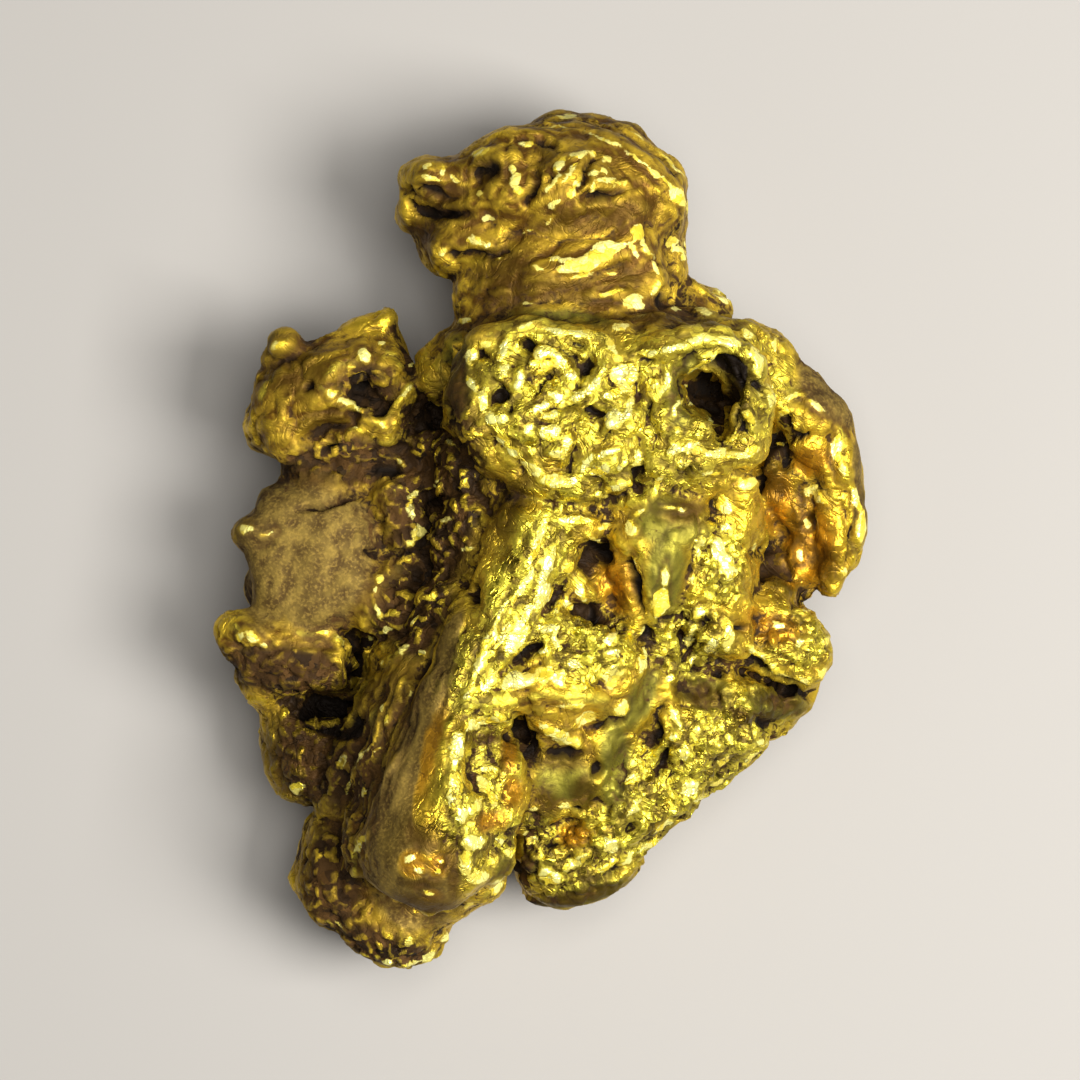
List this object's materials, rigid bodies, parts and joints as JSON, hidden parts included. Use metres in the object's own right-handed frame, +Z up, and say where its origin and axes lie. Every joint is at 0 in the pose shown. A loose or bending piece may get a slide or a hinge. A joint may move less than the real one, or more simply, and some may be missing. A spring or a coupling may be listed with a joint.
{
  "type": "gold nugget",
  "caption": "Natural gold nugget: a lumpy, pitted piece of native gold with a rounded small end, a curled flange and a thick ridge, lying on its worn back.",
  "frame": {"origin": "under the middle of the nugget's box, on the plane that its worn back rests on", "axes": "+X across the nugget towards the curled flange, +Y along it towards the small rounded end, +Z up from the face it rests on"},
  "size_m": [0.0228, 0.03, 0.0119],
  "materials": {
    "native_gold": "natural, satin to bright, with brown iron staining in the recesses"
  },
  "bodies": {
    "root": {"nugget": "native_gold"}
  },
  "joints": []
}
